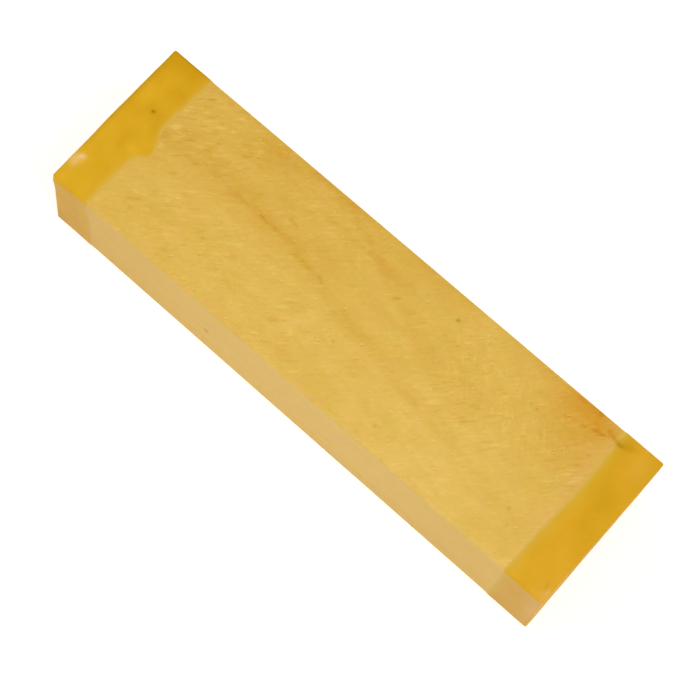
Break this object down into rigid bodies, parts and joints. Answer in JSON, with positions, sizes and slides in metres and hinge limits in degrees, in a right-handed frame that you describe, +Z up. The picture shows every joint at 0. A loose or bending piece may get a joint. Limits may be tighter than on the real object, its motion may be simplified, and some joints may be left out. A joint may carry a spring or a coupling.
{
  "type": "wood handle blank",
  "caption": "Rectangular block of yellow pequia wood with wax-dipped ends, to be drilled and shaped into a knife or tool handle.",
  "frame": {"origin": "centre of the underside, on the surface that the blank rests on", "axes": "+X along the grain to the right-hand end as the picture shows it, +Y to the far long side, +Z up out of the wide sawn face"},
  "size_m": [0.1405, 0.041, 0.0279],
  "materials": {
    "wood": "fine sawn, matt",
    "left_wax": "dipped wax, satin",
    "right_wax": "dipped wax, satin"
  },
  "bodies": {
    "root": {"wood_blank": "wood", "left_end_wax": "left_wax", "right_end_wax": "right_wax"}
  },
  "joints": []
}
